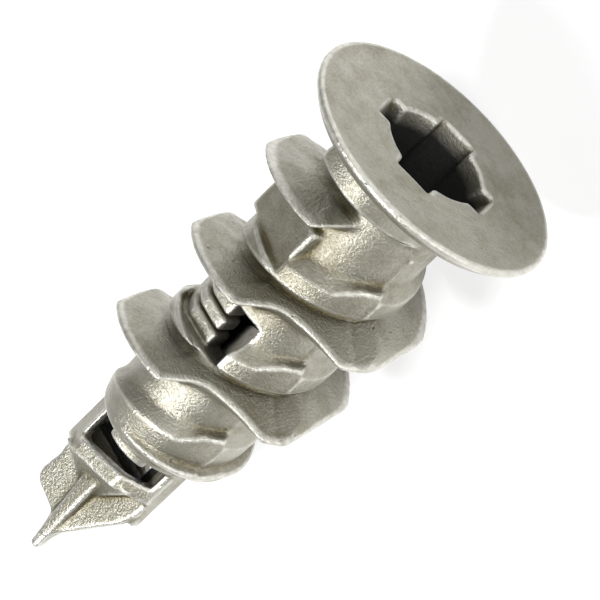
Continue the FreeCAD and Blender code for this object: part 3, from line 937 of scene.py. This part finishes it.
def region_mesh(name, low, high, beyond):
    """Closed mesh of the casting inside one region.

    beyond(c) gives, on the grid, how far each point lies outside the region.  Past the
    border the surface dives gently under the neighbour's, so the two close without a gap.
    """
    whole = casting()
    reach = casting_sizes().overlap / MM + 3 * whole.step
    cut = []
    for axis in range(3):
        line = whole.axes[axis]
        start = max(int(np.searchsorted(line, low[axis] - reach)) - 1, 0)
        stop = min(int(np.searchsorted(line, high[axis] + reach)) + 1, len(line))
        cut.append(slice(start, stop))
    cut = tuple(cut)
    outside = np.broadcast_to(beyond(whole), whole.solid.shape)[cut]
    field = whole.solid[cut] + DIVE * np.maximum(outside, 0)
    field = np.maximum(field, outside - casting_sizes().overlap / MM)
    for axis in range(3):
        for end in (0, -1):
            edge = [slice(None)] * 3
            edge[axis] = end
            field[tuple(edge)] = np.maximum(field[tuple(edge)], whole.step)
    spots, faces = skin(field, whole.axes)
    spots = settled(field, spots)
    curvature = sampled(whole.curvature[cut], spots)
    first = np.array([whole.axes[axis][cut[axis].start] for axis in range(3)])
    points = spots * whole.step + first
    # painted shade mask for the recess, bore and tip slot
    shade = painted_shade_depth(points, slope_at(whole.solid[cut], spots))
    points = points * MM
    mesh = bpy.data.meshes.new(name)
    mesh.vertices.add(len(points))
    mesh.vertices.foreach_set("co", points.astype(np.float32).ravel())
    mesh.loops.add(faces.size)
    mesh.loops.foreach_set("vertex_index", faces.astype(np.int32).ravel())
    mesh.polygons.add(len(faces))
    mesh.polygons.foreach_set("loop_start", np.arange(0, faces.size, 4, dtype=np.int32))
    mesh.update(calc_edges=True)
    mesh.validate()
    mesh.shade_smooth()
    # edge sets the lightened edges (wear and painted highlight), hollow sets painted crease
    # shade, shade sets painted shade in the recess, bore and slot
    for label, values in (("edge", curvature / CONVEX_SCALE), ("hollow", -curvature / HOLLOW_SCALE),
                          ("shade", shade)):
        layer = mesh.attributes.new(label, "FLOAT", "POINT")
        layer.data.foreach_set("value", np.clip(values, 0, 1).astype(np.float32))
    return mesh


def add_region(name, nodes, beyond):
    """Makes the visible piece of some nodes from their part of the casting."""
    low = [min(corner(node, 0, axis) for node in nodes) - REGION_GROW for axis in range(3)]
    high = [max(corner(node, 1, axis) for node in nodes) + REGION_GROW for axis in range(3)]
    mesh = region_mesh(name, low, high, beyond)
    piece = bpy.data.objects.new(name, mesh)
    bpy.context.scene.collection.objects.link(piece)
    mesh.materials.append(zinc_material())
    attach(piece, "root")
    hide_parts(*nodes)


# Regions: how far a point lies outside each one, in millimetres.


def over_barrel(c):
    return c.radius - c.barrel_radius - SKIN_DEPTH


def deep_share(c):
    """Negative nearer the deep thread, positive nearer the shallow one."""
    past = c.past_crest()
    return np.maximum(past - DEEP_AHEAD, -past - DEEP_BEHIND)


def beyond_flange(c):
    return np.maximum(SEAM_RADIUS - c.radius, c.y - SEAT_LINE)


def beyond_neck(c):
    head = np.maximum(c.radius - SEAM_RADIUS, c.y - SEAT_LINE)
    body = np.maximum(over_barrel(c), c.y - NECK_END)
    return np.minimum(head, body)


def beyond_ramp(c):
    return np.maximum(np.maximum(SEAT_LINE - c.y, -over_barrel(c)), -deep_share(c))


def beyond_pad(c):
    high, wide = c.pad_frame()
    box = np.maximum(np.abs(wide) + PAD_CUT_LEFT,
                     slab(c.y, PAD_END - PAD_REGION, PAD_END + PAD_LAP))
    box = np.maximum(box, NECK_RADIUS - PAD_LAP - high)
    return np.maximum(box, -deep_share(c))


def beyond_deep(c):
    return np.maximum(np.maximum(deep_share(c), -over_barrel(c)), SEAT_LINE - c.y)


def beyond_shallow(c):
    band = np.maximum(-deep_share(c), -over_barrel(c))
    return np.maximum(np.maximum(band, -beyond_pad(c)), LOW_REGION - c.y)


def beyond_barrel(c):
    return np.maximum(over_barrel(c), slab(c.y, NECK_END, BARREL_END))


def beyond_tip(c):
    return BARREL_END - c.y + 0 * c.x


class AddFlange(bpy.types.Operator):
    """Round head flange"""
    bl_idname = "anchor.add_flange"
    bl_label = "Flange"

    def execute(self, context):
        add_region("flange_casting", ["flange"], beyond_flange)
        return {"FINISHED"}


class AddNeck(bpy.types.Operator):
    """Neck with the driver recess and the screw bore"""
    bl_idname = "anchor.add_neck"
    bl_label = "Neck"

    def execute(self, context):
        add_region("neck_casting", ["neck"], beyond_neck)
        return {"FINISHED"}


class AddBarrel(bpy.types.Operator):
    """Tapering barrel with its side windows and screw ribs"""
    bl_idname = "anchor.add_barrel"
    bl_label = "Barrel"

    def execute(self, context):
        add_region("barrel_casting", ["barrel", "front_screw_ribs", "rear_screw_ribs"],
                   beyond_barrel)
        return {"FINISHED"}


class AddDeepThread(bpy.types.Operator):
    """Deep coarse thread"""
    bl_idname = "anchor.add_deep_thread"
    bl_label = "Deep thread"

    def execute(self, context):
        add_region("deep_thread_casting", ["deep_thread"], beyond_deep)
        return {"FINISHED"}


class AddShallowThread(bpy.types.Operator):
    """Low thread between the turns of the deep one"""
    bl_idname = "anchor.add_shallow_thread"
    bl_label = "Shallow thread"

    def execute(self, context):
        add_region("shallow_thread_casting", ["shallow_thread"], beyond_shallow)
        return {"FINISHED"}


class AddStartRamp(bpy.types.Operator):
    """Ramp under the flange"""
    bl_idname = "anchor.add_start_ramp"
    bl_label = "Start ramp"

    def execute(self, context):
        add_region("start_ramp_casting", ["start_ramp"], beyond_ramp)
        return {"FINISHED"}


class AddNumberPad(bpy.types.Operator):
    """Flat pad on the neck"""
    bl_idname = "anchor.add_number_pad"
    bl_label = "Number pad"

    def execute(self, context):
        add_region("number_pad_casting", ["number_pad"], beyond_pad)
        return {"FINISHED"}


class AddTip(bpy.types.Operator):
    """Tip posts, straps, lug, blade and ribs"""
    bl_idname = "anchor.add_tip"
    bl_label = "Tip"

    def execute(self, context):
        add_region("tip_casting", [
            "left_tip_post", "right_tip_post", "front_tip_strap", "rear_tip_strap",
            "tip_lug", "drill_blade", "front_blade_rib", "rear_blade_rib"], beyond_tip)
        return {"FINISHED"}


# ---------------------------------------------------------------- stage


class AddStage(bpy.types.Operator):
    """Floor, soft lamps and camera"""
    bl_idname = "anchor.add_stage"
    bl_label = "Stage"

    def execute(self, context):
        add_floor()
        for lamp in LAMPS:
            add_lamp(*lamp)
        add_world()
        add_camera()
        return {"FINISHED"}


def add_floor():
    """Pale floor that touches the anchor's lowest point."""
    low = cad_bounds[0][Z]
    mesh = bpy.data.meshes.new("floor")
    corners = [(x * FLOOR_HALF, y * FLOOR_HALF, low)
               for x, y in ((-1, -1), (1, -1), (1, 1), (-1, 1))]
    mesh.from_pydata(corners, [], [(0, 1, 2, 3)])
    floor = bpy.data.objects.new("floor", mesh)
    bpy.context.scene.collection.objects.link(floor)
    material = bpy.data.materials.new("pale_floor")
    material.use_nodes = True
    g = Graph(material.node_tree)
    seen = g.add("ShaderNodeLightPath", {}, {}, output="Is Camera Ray")
    lit = g.add("ShaderNodeBsdfDiffuse", {}, {"Color": tuple(colours().floor) + (1,)})
    white = g.add("ShaderNodeEmission", {}, {"Color": WHITE, "Strength": 1.0})
    both = g.add("ShaderNodeMixShader", {}, {0: seen * FLOOR_WHITE, 1: lit, 2: white})
    g.add("ShaderNodeOutputMaterial", {}, {"Surface": both})
    mesh.materials.append(material)


def add_lamp(name, direction, size, power):
    """Square soft lamp that shines at the anchor's middle."""
    middle = (Vector(cad_bounds[0]) + Vector(cad_bounds[1])) / 2
    lamp = bpy.data.lights.new(name, "AREA")
    lamp.shape = "SQUARE"
    lamp.size = size
    lamp.energy = power
    holder = bpy.data.objects.new(name, lamp)
    aim = Vector(direction).normalized()
    holder.location = middle + aim * LAMP_DISTANCE
    holder.rotation_mode = "QUATERNION"
    holder.rotation_quaternion = aim.to_track_quat("Z", "Y")
    bpy.context.scene.collection.objects.link(holder)


def add_world():
    """Dim even room for the metal, and white where the camera looks past the floor."""
    world = bpy.data.worlds.new("studio")
    bpy.context.scene.world = world
    world.use_nodes = True
    g = Graph(world.node_tree)
    seen = g.add("ShaderNodeLightPath", {}, {}, output="Is Camera Ray")
    room = g.add("ShaderNodeBackground", {}, {"Color": ROOM_COLOUR, "Strength": ROOM_STRENGTH})
    pale = g.add("ShaderNodeBackground", {}, {"Color": WHITE, "Strength": 1.0})
    both = g.add("ShaderNodeMixShader", {}, {0: seen, 1: room, 2: pale})
    g.add("ShaderNodeOutputWorld", {}, {"Surface": both})


def add_camera():
    """Camera that looks at the head from above its rim, with the point to the lower left."""
    scene = bpy.context.scene
    camera = bpy.data.cameras.new("camera")
    camera.sensor_width = SENSOR
    camera.lens = LENS
    holder = bpy.data.objects.new("camera", camera)
    back = Vector(VIEW_BACK).normalized()
    axis = Vector((0, 1, 0))
    along = (axis - axis.dot(back) * back).normalized()
    across = back.cross(along)
    right = (VIEW_ALONG * along + VIEW_ACROSS * across).normalized()
    up = back.cross(right)
    face = Vector((0, FACE * MM, 0))
    target = face - right * (VIEW_RIGHT_SHIFT * MM) - up * (VIEW_UP_SHIFT * MM)
    place = target + back * CAMERA_DISTANCE
    holder.matrix_world = Matrix((
        (right.x, up.x, back.x, place.x), (right.y, up.y, back.y, place.y),
        (right.z, up.z, back.z, place.z), (0, 0, 0, 1)))
    camera.clip_start, camera.clip_end = CLIP
    scene.collection.objects.link(holder)
    scene.camera = holder
    scene.view_settings.view_transform = "Standard"


class AnchorPanel(bpy.types.Panel):
    """Lists the anchor's pieces"""
    bl_idname = "VIEW3D_PT_wall_anchor"
    bl_label = "Wall Anchor"
    bl_space_type = "VIEW_3D"
    bl_region_type = "UI"
    bl_category = "Wall Anchor"

    def draw(self, context):
        for group in ("anchor_casting", "anchor_threads", "anchor_colours"):
            settings = getattr(context.scene, group)
            for name in settings.__annotations__:
                self.layout.prop(settings, name)
        for operator in OPERATORS:
            self.layout.operator(operator.bl_idname)


OPERATORS = (AddFlange, AddNeck, AddBarrel, AddDeepThread, AddShallowThread, AddStartRamp,
             AddNumberPad, AddTip, AddStage)
GROUPS = (("anchor_casting", CastingSizes), ("anchor_threads", ThreadSizes),
          ("anchor_colours", FinishColours))


def register():
    for name, group in GROUPS:
        bpy.utils.register_class(group)
        setattr(bpy.types.Scene, name, bpy.props.PointerProperty(type=group))
    for operator in OPERATORS:
        bpy.utils.register_class(operator)
    bpy.utils.register_class(AnchorPanel)


def unregister():
    bpy.utils.unregister_class(AnchorPanel)
    for operator in reversed(OPERATORS):
        bpy.utils.unregister_class(operator)
    for name, group in reversed(GROUPS):
        delattr(bpy.types.Scene, name)
        bpy.utils.unregister_class(group)


def main():
    register()
    for operator in OPERATORS:
        group, name = operator.bl_idname.split(".")
        getattr(getattr(bpy.ops, group), name)()


if __name__ == "__main__":
    main()
